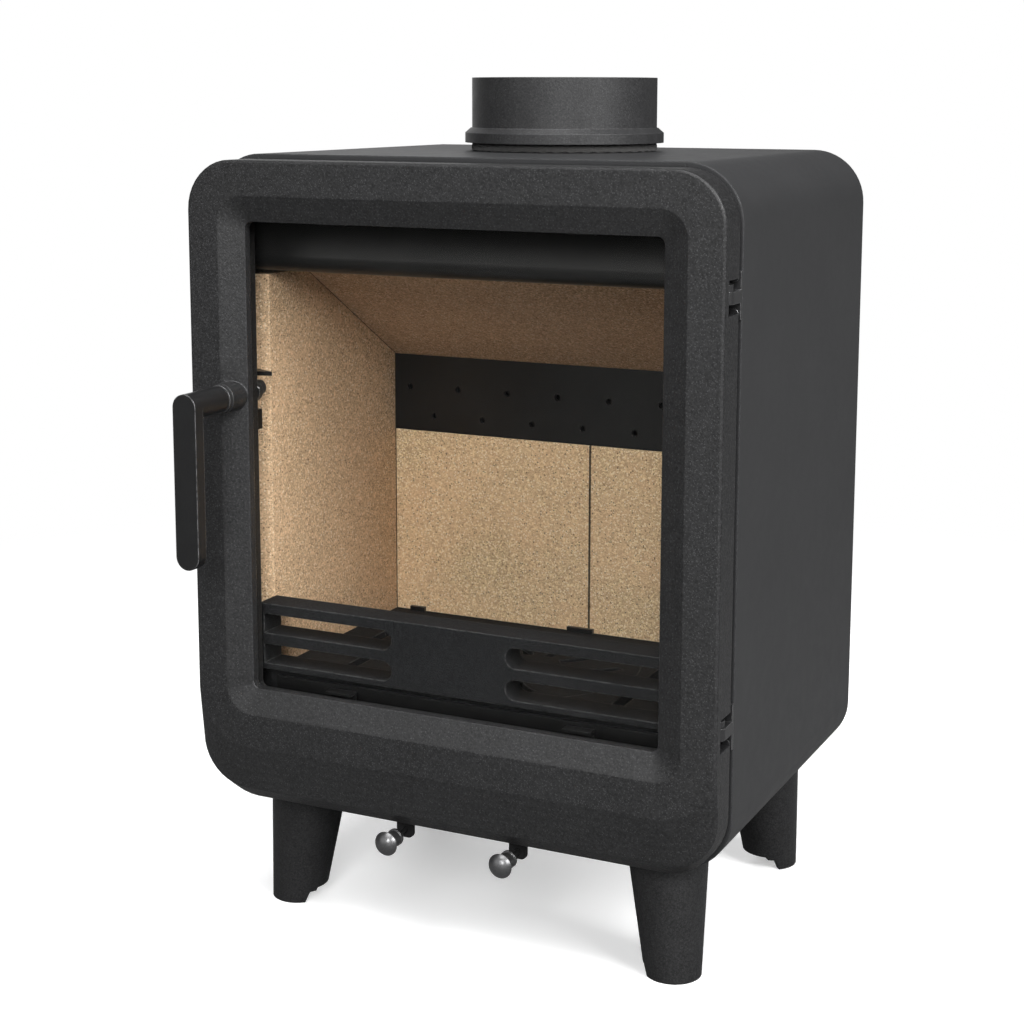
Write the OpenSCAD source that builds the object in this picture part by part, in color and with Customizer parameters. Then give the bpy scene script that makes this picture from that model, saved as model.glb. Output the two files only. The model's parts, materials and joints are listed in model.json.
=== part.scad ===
// Small wood-burning stove: rounded sheet casing, cast door with a window, four tapered legs.
// Millimetres, +Z up. The front faces -Y and +X is the right-hand side seen from the front.
// The origin is on the floor, under the middle of the whole stove, handle included.

/* [Body] */
// Width of the casing and of the door
body_w = 386; // [376:1:420]
// Height of the casing
casing_h = 455.5; // [448:0.5:500]
// Outer corner radius of the casing
casing_r = 38; // [30:1:44]
// Thickness of the casing sheet
casing_t = 4; // [3:0.5:5]
// Height of the casing above the floor
leg_h = 84; // [74:1:110]
// Thickness of the front frame plate
frame_t = 5; // [4:0.5:6]
// How far the back panel sits inside the rear edge of the casing
panel_inset = 15; // [12:1:18]
// Thickness of the back panel
panel_t = 4; // [3:0.5:5]
// Thickness of the heat shield on the back
shield_t = 1.5; // [1:0.5:2.5]
// Space between the back panel and the heat shield
shield_gap = 10; // [6:1:11]

/* [Door] */
// Thickness of the door casting at its side
door_t = 25; // [24:0.5:30]
// Gap between the door and the casing
door_gap = 7; // [6.5:0.5:8]
// How far the door stops short of the casing, above and below
door_inset = 3.25; // [2:0.25:5]
// Upper corner radius of the door
door_r_top = 34; // [28:1:40]
// Lower corner radius of the door
door_r_bottom = 40; // [34:1:46]
// Width of the flat rim beside and above the window bevel
rim_w = 24; // [22:0.5:27]
// Height of the door face below the window bevel
rim_bottom = 64; // [58:1:74]
// Width of the window bevel
bevel_w = 17.5; // [14:0.5:20]
// Depth of the window bevel
bevel_depth = 7; // [5:0.5:8]
// Corner radius of the outer edge of the bevel
bevel_r = 18; // [12:1:24]
// Corner radius of the window opening
window_r = 5; // [4:0.5:8]
// Rounding of the front edge of the door
edge_r = 1.6; // [1:0.2:2.4]
// Height of the chin that leans back below the window
chin_h = 40; // [30:1:50]
// How far the foot of the chin leans back
chin_back = 13; // [9:0.5:16]
// Thickness of the lip that the glass rests on
lip_t = 6; // [5:0.5:7]
// Thickness of the glass
glass_t = 4; // [3:0.5:5]
// How far the glass laps over the lip
glass_lap = 4; // [3:0.5:4.5]
// Thickness of the flat gasket in front of the glass
gasket_t = 1.5; // [1:0.5:2]
// Width of the rope seal
rope_w = 8; // [6:0.25:8]
// Depth of the groove that holds the rope seal
rope_groove = 4; // [3:0.5:5]

/* [Handle] */
// Distance of the handle axis from the side of the door
handle_inset = 31; // [29.5:0.25:33]
// Height of the handle axis above the casing bottom
handle_h = 291.5; // [260:0.5:310]
// Reach of the grip in front of the door
handle_reach = 53; // [42:1:66]
// Length of the grip
grip_len = 119; // [90:1:140]
// Width of the grip
grip_w = 18; // [16:1:19]
// Thickness of the grip
grip_t = 9; // [7:0.5:11]
// Diameter of the raised boss on the door
boss_d = 20.6; // [19.2:0.2:21.6]
// How far the boss stands in front of the door face
boss_proud = 10; // [6:0.5:14]
// Diameter of the handle spindle
spindle_d = 9; // [7:0.5:9]

/* [Hinges] */
// Distance of the hinge axis from the side of the door
hinge_inset = 6.5; // [6:0.25:7]
// Distance of the hinge axis behind the door face
hinge_back = 16.5; // [15:0.5:17]
// Height of the lower hinge notch above the casing bottom
hinge_low = 90; // [70:1:130]
// Distance of the upper hinge notch below the top of the casing
hinge_drop = 69.5; // [55:0.5:120]
// Height of a hinge notch in the door
notch_h = 22; // [21:0.5:26]
// Height of a hinge knuckle
knuckle_h = 7.8; // [6:0.2:9]
// Diameter of a hinge knuckle
knuckle_d = 13; // [12:0.25:13]
// Gap between a hinge knuckle and its notch
knuckle_gap = 1; // [0.7:0.05:1.2]
// Diameter of a hinge pin
pin_d = 6; // [5:0.25:7]

/* [Flue collar] */
// Bore that takes the flue pipe
flue_bore = 127; // [117:1:132]
// Wall of the flue socket
collar_wall = 3.2; // [2.8:0.2:5]
// Height of the collar above the casing
collar_h = 52; // [44:1:80]
// Width of the flange around the socket
flange_w = 5; // [4:0.5:8]
// Thickness of the flange
flange_t = 7; // [5:0.5:9]
// Thickness of the shoulder that the flue pipe stands on
shoulder_t = 3; // [2:0.5:4]
// Height of the rope seal under the flange
collar_seal_h = 6; // [4:0.5:8]
// Distance of the flue centre from the rear edge of the casing
flue_rear = 106; // [94:1:112]

/* [Firebox] */
// Thickness of the bricks
brick_t = 25; // [22:0.5:26]
// Air gap between the side bricks and the casing
brick_gap = 2; // [1:0.5:3]
// Distance of the side bricks behind the front of the casing
brick_back = 14; // [12:0.5:16]
// Depth of the firebox from the front of the casing to the rear bricks
firebox_d = 200; // [190:1:204]
// Height of the fire bed above the casing bottom
bed_h = 86; // [80:1:92]
// Thickness of the fire bed
bed_t = 8; // [7:0.5:9]
// Distance of the joint between the rear bricks from the middle
rear_joint = 6.4; // [-20:0.2:20]
// Depth of the air duct behind the rear bricks
duct_d = 25; // [20:1:50]
// Length of the level top of the side bricks, in front of the baffle's seat
brick_flat = 54.1; // [46:0.1:64]
// Slope of the baffle
baffle_a = 30.6; // [24:0.2:33]
// Gap between the air deflector and the front edge of the baffle
baffle_gap = 10; // [4:1:24]
// Height of the air plate above the rear bricks
air_plate_h = 60.2; // [50:0.2:80]
// Height of the lower row of air holes above the lower edge of the air plate
hole_low = 12; // [8:0.5:16]
// Height of the upper row of air holes above the lower edge of the air plate
hole_high = 34.5; // [24:0.5:44]
// Distance of the last air hole from the side brick
hole_margin = 13.25; // [8:0.25:24]
// Diameter of the air holes
hole_d = 4.5; // [3:0.5:7]
// Radius of the rounded nose of the air deflector
nose_r = 10; // [7:0.5:11]
// Distance of the middle of that nose behind the front of the casing
nose_back = 20; // [18:0.5:26]
// Depth of the shelf of the air deflector behind its nose
shelf_d = 30; // [20:1:40]
// Distance of the lower edge of the air deflector below the roof
deflector_drop = 77.5; // [74:0.5:90]
// Gap between the side bricks and the air deflector
deflector_gap = 3; // [1:0.5:5]
// Radius of the round grate
grate_r = 80; // [60:1:84]

/* [Log fence] */
// Depth of the log fence from front to back
fence_d = 22; // [14:0.5:24]
// Gap between the log fence and each side brick
fence_play = 1.5; // [0.5:0.25:6]
// Height of the two slots
fence_slot = 14; // [10:0.5:16]
// Height of the bar between the slots
fence_bar = 8; // [6:0.5:10]
// Height of the bar above the slots
fence_top = 7.6; // [6:0.2:10]
// Height of the bar below the slots
fence_foot = 4.4; // [4:0.2:8]
// Height of the rib that the fence stands on
fence_rib = 5.6; // [4:0.2:8]
// Width of the solid plate between the slots
fence_plate = 87; // [60:1:110]
// How far that plate sits to the left of the middle
fence_shift = 10.5; // [0:0.5:14]

/* [Legs] */
// Distance of the top of a leg from the side of the casing
leg_inset = 53.5; // [44:0.5:62]
// Distance of the front legs behind the front of the casing
leg_front = 28; // [28:1:40]
// Distance of the rear legs from the rear of the casing
leg_rear = 44; // [32:1:52]
// Radius at the top of a leg
leg_r_top = 27.5; // [24:0.5:28]
// Radius at the foot of a leg
leg_r_foot = 19.2; // [17:0.1:21]
// Sideways lean of the foot of a leg
leg_lean_x = 7; // [3:0.5:9]
// Lean of the foot of a leg towards the front or the rear
leg_lean_y = 6; // [3:0.5:8]
// Wall of a hollow leg
leg_wall = 4.5; // [3.5:0.5:6]
// Diameter of the bolt that holds a leg
leg_bolt_d = 8; // [6:1:10]

/* [Air slides] */
// Distance of each air slide from the middle
slide_x = 43.25; // [42:0.25:46]
// Width of the slide strap
strap_w = 13; // [11:0.5:16]
// Thickness of the slide strap
strap_t = 2.5; // [2:0.25:3]
// Width of the shutter
shutter_w = 62; // [54:1:64]
// Depth of the shutter
shutter_d = 34; // [30:1:36]
// Distance of the shutter behind the front of the casing
shutter_back = 71; // [60:1:90]
// Diameter of an air hole under the shutter
inlet_d = 14; // [10:1:16]
// Travel of an air slide
slide_travel = 30; // [25:1:34]
// Diameter of the knob
knob_d = 17; // [14:0.25:19]
// Drop of the knob axis below the casing
knob_drop = 8.7; // [8.3:0.1:10]
// Length of the knob from its tip to the tab that carries it
knob_reach = 31.8; // [26:0.2:36]

/* [Hidden] */

$fn = 96;
// Overshoot of a cut past the face that it leaves
over = 1;
// Clearance between fixed pieces that slip together
fit = 0.3;
// Radial clearance of a pin or shaft in its hole
running = 0.05;
// Facets of the rounded corners in blended shapes
blend_fn = 40;

// Places along Y, from the front of the handle to the rear edge of the casing
casing_d = firebox_d + brick_t + duct_d + panel_t + panel_inset;
whole_d = handle_reach + door_t + door_gap + casing_d;
face_y = handle_reach - whole_d / 2;
door_y1 = face_y + door_t;
casing_y0 = door_y1 + door_gap;
casing_y1 = casing_y0 + casing_d;
frame_y1 = casing_y0 + frame_t;
panel_y1 = casing_y1 - panel_inset;
panel_y0 = panel_y1 - panel_t;
brick_y0 = casing_y0 + brick_back;
rear_brick_y0 = casing_y0 + firebox_d;
rear_brick_y1 = rear_brick_y0 + brick_t;

// Places along Z
body_z0 = leg_h;
body_z1 = leg_h + casing_h;
floor_z = body_z0 + casing_t;
roof_z = body_z1 - casing_t;
bed_z = body_z0 + bed_h;
door_z0 = body_z0 + door_inset;
door_z1 = body_z1 - door_inset;

// Inside of the casing
inner_w = body_w - 2 * casing_t;
inner_r = casing_r - casing_t;
brick_x = inner_w / 2 - brick_gap - brick_t;

// Window in the door
bevel_hw = body_w / 2 - rim_w;
bevel_z0 = door_z0 + rim_bottom;
bevel_z1 = door_z1 - rim_w;
window_hw = bevel_hw - bevel_w;
window_z0 = bevel_z0 + bevel_w;
window_z1 = bevel_z1 - bevel_w;
lip_y = face_y + bevel_depth + lip_t;
glass_y0 = lip_y + gasket_t;
glass_y1 = glass_y0 + glass_t;
glass_play = 0.5;

// Hinges
hinge_x = body_w / 2 - hinge_inset;
hinge_y = face_y + hinge_back;
hinge_z = [body_z0 + hinge_low, body_z1 - hinge_drop - notch_h];
notch_x = hinge_x - knuckle_d / 2 - knuckle_gap;
knuckle_lift = 6.6;
pin_head_h = 4.2;
pin_head_d = 11;
pin_reach = 12;
plate_t = 3.2;

// Rope seal of the door, and the opening in the front frame behind it
rope_fit = 0.25;
rope_wall = 0.45;
rope_hw = notch_x - rope_wall - rope_fit - rope_w / 2;
rope_inset = body_w / 2 - rope_hw;
rope_z0 = door_z0 + rope_inset;
rope_z1 = door_z1 - rope_inset;
rope_r = 24;
rope_land = 2;
mouth_hw = rope_hw - rope_w / 2 - rope_land;
mouth_z0 = rope_z0 + rope_w / 2 + rope_land;
mouth_z1 = rope_z1 - rope_w / 2 - rope_land;
mouth_r = 16;

// Handle
handle_x = -body_w / 2 + handle_inset;
handle_z = body_z0 + handle_h;
washer_t = 3;
washer_d = grip_w + 1;
stem_y1 = face_y - boss_proud - washer_t - fit;
grip_y0 = face_y - handle_reach;
spindle_end = 2;
spindle_bore = spindle_d + 2 * running;
stop_drop = 14;
stop_h = 14;

// Flue collar
collar_y = casing_y1 - flue_rear;
socket_r = flue_bore / 2 + collar_wall;
neck_wall = 4;
neck_r = flue_bore / 2 - 1;
collar_z0 = body_z1 + collar_seal_h;
ring_h = 8;
ring_w = 9;

// Log fence and fire bed
fence_h = fence_foot + fence_slot + fence_bar + fence_slot + fence_top;
fence_y1 = brick_y0 + 6;
fence_y0 = fence_y1 - fence_d;
fence_z0 = bed_z + fence_rib;
slot_end = 3.5;
bed_y0 = brick_y0 - 2;
grate_y = casing_y0 + firebox_d * 0.54;
grate_ledge = 8;
grate_t = 5.5;
sill_t = 4;
sill_h = 12;
clip_inset = 20;

// Ash compartment
ash_z = mouth_z0;
ash_floor_t = 3;
pan_margin = 24;
pan_hw = grate_r + pan_margin;
pan_back = 12;
pan_drop = 14;
vent_gap = 18;

// Slides
guide_lip = 2.3;
slide_z1 = body_z0 - fit;
slide_z0 = slide_z1 - strap_t;
tab_lead = 3.7;
tab_y0 = casing_y0 - tab_lead;
shutter_y0 = casing_y0 + shutter_back;
inlet_y = shutter_y0 + shutter_d / 2;
knob_z = body_z0 - knob_drop;
knob_y0 = tab_y0 - knob_reach;
stud_d = 4;

// Air deflector, baffle and air plate, from the roof down
deflector_z = roof_z - deflector_drop;
brick_top_z = deflector_z - deflector_gap;
baffle_seat_y = brick_y0 + brick_flat;
nose_y = casing_y0 + nose_back;
shelf_y1 = nose_y + shelf_d;
baffle_y0 = shelf_y1 + baffle_gap;

// Height of the underside of the baffle at a place along Y
function baffle_z(y) = brick_top_z + (baffle_seat_y - y) * tan(baffle_a);

manifold_z0 = baffle_z(rear_brick_y0) - air_plate_h;
manifold_z1 = baffle_z(rear_brick_y0) + brick_t / cos(baffle_a);
rear_brick_z1 = manifold_z0 - fit;

// The waste outside one rounded corner, running along Y
module corner_waste(x, z, y0, y1, r, sx, sz) {
    difference() {
        translate([x - (sx > 0 ? r : over), y0 - over, z - (sz > 0 ? r : over)])
            cube([r + over, y1 - y0 + 2 * over, r + over]);
        translate([x - sx * r, y0 - 2 * over, z - sz * r])
            rotate([-90, 0, 0])
                cylinder(h = y1 - y0 + 4 * over, r = r);
    }
}

// A slab across X with its four long corners rounded, between two heights and two depths
module rounded_slab(hw, z0, z1, y0, y1, r_top, r_bottom) {
    difference() {
        translate([-hw, y0, z0])
            cube([2 * hw, y1 - y0, z1 - z0]);
        for (side = [-1, 1]) {
            corner_waste(side * hw, z1, y0, y1, r_top, side, 1);
            corner_waste(side * hw, z0, y0, y1, r_bottom, side, -1);
        }
    }
}

// The space inside the casing between two depths, less the clearance all round
module inside_casing(y0, y1) {
    rounded_slab(inner_w / 2 - fit, floor_z + fit, roof_z - fit, y0, y1, inner_r - fit, inner_r - fit);
}

// Four short corner posts, the outline of a rounded slab for a blend
module corner_posts(hw, z0, z1, y0, t, r_top, r_bottom) {
    for (side = [-1, 1]) {
        translate([side * (hw - r_top), y0, z1 - r_top])
            rotate([-90, 0, 0])
                cylinder(h = t, r = r_top, $fn = blend_fn);
        translate([side * (hw - r_bottom), y0, z0 + r_bottom])
            rotate([-90, 0, 0])
                cylinder(h = t, r = r_bottom, $fn = blend_fn);
    }
}

// A cylinder along Y
module rod_y(x, y0, y1, z, d) {
    translate([x, y0, z])
        rotate([-90, 0, 0])
            cylinder(h = y1 - y0, d = d);
}

// A cylinder along Z
module rod_z(x, y, z0, z1, d) {
    translate([x, y, z0])
        cylinder(h = z1 - z0, d = d);
}

// A block between two corners
module block(low, high) {
    translate(low)
        cube(high - low);
}

// A side profile, drawn in Y and Z, that runs across X between two places
module side_profile(x0, x1, points) {
    translate([x0, 0, 0])
        rotate([90, 0, 90])
            linear_extrude(height = x1 - x0)
                polygon(points);
}

// A plan profile, drawn in X and Y, between two heights
module plan_profile(z0, z1, points) {
    translate([0, 0, z0])
        linear_extrude(height = z1 - z0)
            polygon(points);
}

// ---- Body ----

// The places of the three air inlets under each slide
module at_inlets() {
    for (side = [-1, 1], k = [-1, 0, 1])
        translate([side * slide_x + k * (inlet_d + 4), inlet_y, body_z0])
            children();
}

// The place and turn of each leg: +X of its children points the way that the foot leans
module at_leg(side, end) {
    y = end < 0 ? casing_y0 + leg_front : casing_y1 - leg_rear;
    translate([side * (body_w / 2 - leg_inset), y, 0])
        rotate([0, 0, atan2(end * leg_lean_y, side * leg_lean_x)])
            children();
}

// Half the width of the flat roof plate between the rounded corners
roof_hw = body_w / 2 - casing_r;

// The wrap: both sides, the floor and the four rounded corners
module casing() {
    color("#434446")
        difference() {
            rounded_slab(body_w / 2, body_z0, body_z1, casing_y0, casing_y1, casing_r, casing_r);
            rounded_slab(inner_w / 2, floor_z, roof_z, casing_y0 - over, casing_y1 + over, inner_r, inner_r);
            block([-roof_hw, casing_y0 - over, roof_z - over], [roof_hw, casing_y1 + over, body_z1 + over]);
            at_inlets()
                translate([0, 0, -over])
                    cylinder(h = casing_t + 2 * over, d = inlet_d);
            for (side = [-1, 1], end = [-1, 1])
                at_leg(side, end)
                    rod_z(0, 0, body_z0 - over, floor_z + over, leg_bolt_d + fit);
        }
}

// The roof plate, welded in flush between the corners of the wrap
module casing_roof() {
    color("#434446")
        difference() {
            block([-roof_hw, casing_y0, roof_z], [roof_hw, casing_y1, body_z1]);
            rod_z(0, collar_y, roof_z - over, body_z1 + over, 2 * (neck_r + fit));
        }
}

module front_frame() {
    color("#2a2a2b")
        difference() {
            inside_casing(casing_y0, frame_y1);
            rounded_slab(mouth_hw, mouth_z0, mouth_z1, casing_y0 - over, frame_y1 + over, mouth_r, mouth_r);
        }
}

module rear_panel() {
    color("#343536")
        inside_casing(panel_y0, panel_y1);
}

shield_margin = 12;
shield_y0 = panel_y1 + shield_gap;
shield_hw = inner_w / 2 - shield_margin;
shield_hz = (casing_h / 2) - casing_t - shield_margin;
shield_mid = (body_z0 + body_z1) / 2;
shield_screw_x = shield_hw - 2 * shield_margin;
shield_screw_z = shield_hz - inner_r - shield_margin / 2;
shield_screw_d = 6;

module at_shield_screws() {
    for (sx = [-1, 1], sz = [-1, 1])
        translate([sx * shield_screw_x, 0, shield_mid + sz * shield_screw_z])
            children();
}

module rear_shield() {
    shield_r = inner_r - shield_margin;
    vent_w = 150;
    vent_h = 5;
    vent_pitch = 14;
    color("#3a3b3c")
        difference() {
            rounded_slab(
                shield_hw, shield_mid - shield_hz, shield_mid + shield_hz,
                shield_y0, shield_y0 + shield_t, shield_r, shield_r
            );
            at_shield_screws()
                rod_y(0, shield_y0 - over, shield_y0 + shield_t + over, 0, shield_screw_d + fit);
            for (sz = [-1, 1], k = [0 : 4]) {
                z = shield_mid + sz * (shield_hz - 30 - k * vent_pitch);
                block(
                    [-vent_w / 2, shield_y0 - over, z - vent_h / 2],
                    [vent_w / 2, shield_y0 + shield_t + over, z + vent_h / 2]
                );
            }
        }
}

module shield_screws() {
    head_t = 2.5;
    color("#8c8d8f")
        at_shield_screws() {
            rod_y(0, panel_y1, shield_y0 + shield_t, 0, shield_screw_d);
            rod_y(0, panel_y1, shield_y0, 0, 2 * shield_screw_d);
            rod_y(0, shield_y0 + shield_t, shield_y0 + shield_t + head_t, 0, 1.8 * shield_screw_d);
        }
}

// ---- Flue collar ----

module flue_collar() {
    chamfer = 3.5;
    neck_z0 = roof_z - ring_h - 2;
    color("#3b3c3d")
        translate([0, collar_y, 0])
            difference() {
                union() {
                    translate([0, 0, neck_z0])
                        cylinder(h = collar_z0 - neck_z0 + over, r = neck_r);
                    translate([0, 0, collar_z0])
                        cylinder(h = flange_t, r = socket_r + flange_w);
                    translate([0, 0, collar_z0 + flange_t])
                        cylinder(h = chamfer, r1 = socket_r + flange_w, r2 = socket_r + 1);
                    translate([0, 0, collar_z0])
                        cylinder(h = body_z1 + collar_h - collar_z0, r = socket_r);
                }
                translate([0, 0, collar_z0 + shoulder_t])
                    cylinder(h = collar_h + over, d = flue_bore);
                translate([0, 0, neck_z0 - over])
                    cylinder(h = collar_z0 - neck_z0 + shoulder_t + 2 * over, r = neck_r - neck_wall);
            }
}

module collar_seal() {
    color("#1b1b1b")
        difference() {
            rod_z(0, collar_y, body_z1, collar_z0, 2 * socket_r + 0.6);
            rod_z(0, collar_y, body_z1 - over, collar_z0 + over, 2 * (neck_r + fit));
        }
}

module collar_ring() {
    color("#4a4b4c")
        difference() {
            rod_z(0, collar_y, roof_z - ring_h, roof_z, 2 * (neck_r + ring_w));
            rod_z(0, collar_y, roof_z - ring_h - over, roof_z + over, 2 * (neck_r + fit));
        }
}

// ---- Firebox ----

module side_brick(side) {
    bevel_in = 10;
    bevel_back = 6;
    top_z = brick_top_z;
    rear_z = baffle_z(rear_brick_y0);
    color("#c39c6c")
        mirror([side < 0 ? 1 : 0, 0, 0])
            difference() {
                side_profile(brick_x, brick_x + brick_t, [
                    [brick_y0, bed_z], [rear_brick_y1, bed_z], [rear_brick_y1, rear_z],
                    [rear_brick_y0, rear_z], [baffle_seat_y, top_z], [brick_y0, top_z]
                ]);
                plan_profile(bed_z - over, top_z + over, [
                    [brick_x - over, brick_y0 - over],
                    [brick_x + bevel_in, brick_y0 - over],
                    [brick_x + bevel_in, brick_y0],
                    [brick_x, brick_y0 + bevel_back],
                    [brick_x - over, brick_y0 + bevel_back]
                ]);
            }
}

module brick_left() {
    side_brick(-1);
}

module brick_right() {
    side_brick(1);
}

module rear_brick(side) {
    color("#cba473")
        block(
            [side < 0 ? fit - brick_x : rear_joint + fit / 2, rear_brick_y0, bed_z],
            [side < 0 ? rear_joint - fit / 2 : brick_x - fit, rear_brick_y1, rear_brick_z1]
        );
}

module brick_rear_left() {
    rear_brick(-1);
}

module brick_rear_right() {
    rear_brick(1);
}

module baffle() {
    rear_y = rear_brick_y0 - fit;
    color("#b58f63")
        side_profile(fit - inner_w / 2 + brick_gap, inner_w / 2 - brick_gap - fit, [
            [rear_y, baffle_z(rear_y)],
            [rear_y, baffle_z(rear_y) + brick_t / cos(baffle_a)],
            [baffle_y0 + brick_t * sin(baffle_a), baffle_z(baffle_y0) + brick_t * cos(baffle_a)],
            [baffle_y0, baffle_z(baffle_y0)]
        ]);
}

module air_manifold() {
    sheet = 3;
    hw = brick_x - fit;
    hole_pitch = (brick_x - hole_margin) / 3.5;
    cut_y0 = rear_brick_y0 - over;
    cut_y1 = rear_brick_y0 + sheet + over;
    color("#1f1f20")
        difference() {
            block([-hw, rear_brick_y0, manifold_z0], [hw, rear_brick_y1, manifold_z1]);
            block(
                [-hw + sheet, rear_brick_y0 + sheet, manifold_z0 + sheet],
                [hw - sheet, rear_brick_y1 + over, manifold_z1 - sheet]
            );
            for (k = [-3 : 3])
                rod_y(k * hole_pitch, cut_y0, cut_y1, manifold_z0 + hole_low, hole_d);
            for (k = [-3.5 : 3.5])
                rod_y(k * hole_pitch, cut_y0, cut_y1, manifold_z0 + hole_high, hole_d);
        }
}

module rear_air_duct() {
    sheet = 2;
    hw = 100;
    rim = 10;
    front = rear_brick_y1 + fit;
    color("#2c2c2d")
        difference() {
            block([-hw, front, ash_z], [hw, panel_y0, manifold_z1]);
            block(
                [-hw + sheet, front + sheet, ash_z - over],
                [hw - sheet, panel_y0 + over, manifold_z1 - sheet]
            );
            block(
                [-hw + rim, front - over, manifold_z0 + rim],
                [hw - rim, front + sheet + over, manifold_z1 - rim]
            );
        }
}

nose_z = deflector_z + nose_r;
nose_steps = 12;

// A point of the nose's bend in Y and Z, at an angle that grows from straight down towards the front
function nose_point(r, a) = [nose_y - r * sin(a), nose_z - r * cos(a)];

module air_deflector() {
    sheet = 4;
    lean = 16;
    hw = inner_w / 2 - fit;
    top_z = roof_z - inner_r;
    bend = 90 + lean;
    outer = [for (i = [0 : nose_steps]) nose_point(nose_r, bend * i / nose_steps)];
    inner = [for (i = [nose_steps : -1 : 0]) nose_point(nose_r - sheet, bend * i / nose_steps)];
    top_y = outer[nose_steps][0] + (top_z - outer[nose_steps][1]) * tan(lean);
    color("#232324")
        side_profile(-hw, hw, concat(
            [[shelf_y1, deflector_z]], outer,
            [[top_y, top_z], [top_y + sheet / cos(lean), top_z]], inner,
            [[shelf_y1, deflector_z + sheet]]
        ));
}

// One slot of the log fence, round beside the plate and square at the end of the fence
module fence_slot_cut(plate_x, end_x, z0) {
    r = fence_slot / 2;
    round_x = plate_x + (end_x > plate_x ? r : -r);
    block(
        [min(round_x, end_x), fence_y0 - over, z0],
        [max(round_x, end_x), fence_y1 + over, z0 + fence_slot]
    );
    rod_y(round_x, fence_y0 - over, fence_y1 + over, z0 + r, fence_slot);
}

module log_fence() {
    hl = brick_x - fence_play;
    left_end = -fence_shift - fence_plate / 2;
    right_end = -fence_shift + fence_plate / 2;
    color("#2b2c2d")
        difference() {
            block([-hl, fence_y0, fence_z0], [hl, fence_y1, fence_z0 + fence_h]);
            for (z = [fence_z0 + fence_foot, fence_z0 + fence_foot + fence_slot + fence_bar]) {
                fence_slot_cut(left_end, slot_end - hl, z);
                fence_slot_cut(right_end, hl - slot_end, z);
            }
        }
}

// The front of the bed: an upright plate, and the rib that the log fence stands on
module bed_sill() {
    color("#303132")
        union() {
            block([-mouth_hw, bed_y0, bed_z - bed_t - sill_h], [mouth_hw, bed_y0 + sill_t, bed_z]);
            block([-brick_x + fit, bed_y0, bed_z], [brick_x - fit, fence_y1, fence_z0]);
        }
}

module grate_bed() {
    long_slot = 56;
    slot_w = 9;
    slot_gap = 6;
    hw = inner_w / 2 - brick_gap;
    color("#303132")
        difference() {
            block([-hw, bed_y0 + sill_t, bed_z - bed_t], [hw, rear_brick_y1, bed_z]);
            rod_z(0, grate_y, bed_z - grate_t, bed_z + over, 2 * (grate_r + fit));
            rod_z(0, grate_y, bed_z - bed_t - over, bed_z + over, 2 * (grate_r - grate_ledge));
            for (side = [-1, 1], k = [0, 1]) {
                x = side * (grate_r + 2 * (k + 1) * slot_w + slot_gap) - fence_shift;
                block(
                    [x - slot_w / 2, grate_y - (1 - k) * long_slot - slot_w, bed_z - bed_t - over],
                    [x + slot_w / 2, grate_y + long_slot / 2, bed_z + over]
                );
            }
        }
}

grate_arms = 9;
grate_hub = 18;

// One curved slot of the grate, swept from near the hub to near the rim
module grate_slot() {
    swing_r = grate_r * 0.55;
    slot_w = 7.5;
    translate([grate_hub + 4, 0, -over])
        rotate([0, 0, -8])
            translate([0, swing_r, 0])
                rotate([0, 0, -90])
                    rotate_extrude(angle = 62)
                        translate([swing_r - slot_w / 2, 0])
                            square([slot_w, grate_t + 2 * over]);
}

module grate() {
    color("#2d2e2f")
        translate([0, grate_y, bed_z - grate_t])
            difference() {
                cylinder(h = grate_t, r = grate_r);
                for (k = [0 : grate_arms - 1])
                    rotate([0, 0, k * 360 / grate_arms])
                        grate_slot();
            }
}

module grate_studs() {
    stud_d = 5;
    color("#a5a6a8")
        for (k = [0 : 5])
            translate([0, grate_y, bed_z])
                rotate([0, 0, k * 60 + 30])
                    translate([grate_r * 0.9, 0, 0])
                        cylinder(h = 1.6, d = stud_d);
}

module bed_rails() {
    sheet = 3;
    leg_w = 14;
    z = bed_z - bed_t;
    color("#2c2c2d")
        for (side = [-1, 1])
            mirror([side < 0 ? 1 : 0, 0, 0]) {
                block([inner_w / 2 - leg_w, frame_y1 + fit, z - sheet], [inner_w / 2, rear_brick_y1, z]);
                block([inner_w / 2 - sheet, frame_y1 + fit, z - leg_w], [inner_w / 2, rear_brick_y1, z]);
            }
}

module brick_clips() {
    clip_h = 3.5;
    clip_t = 3.5;
    mid_w = 21.5;
    end_w = 12.5;
    end_x = brick_x - clip_inset;
    color("#242425")
        for (spot = [[-end_x, end_w], [0, mid_w], [end_x, end_w]])
            block(
                [spot[0] - spot[1] / 2, rear_brick_y0 - clip_t, bed_z],
                [spot[0] + spot[1] / 2, rear_brick_y0, bed_z + clip_h]
            );
}

// ---- Ash compartment ----

module ash_floor() {
    vent_pitch = 36;
    vent_d = 12;
    cut_z0 = ash_z - ash_floor_t - over;
    color("#2a2a2b")
        difference() {
            intersection() {
                block([-body_w, frame_y1, ash_z - ash_floor_t], [body_w, panel_y0, ash_z]);
                inside_casing(frame_y1, panel_y0);
            }
            for (k = [-1 : 1])
                rod_z(k * vent_pitch, (rear_brick_y1 + panel_y0) / 2, cut_z0, ash_z + over, vent_d);
            for (side = [-1, 1], k = [-1.5 : 1.5])
                rod_z(side * (pan_hw + vent_gap), grate_y + k * vent_pitch, cut_z0, ash_z + over, vent_d);
        }
}

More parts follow.
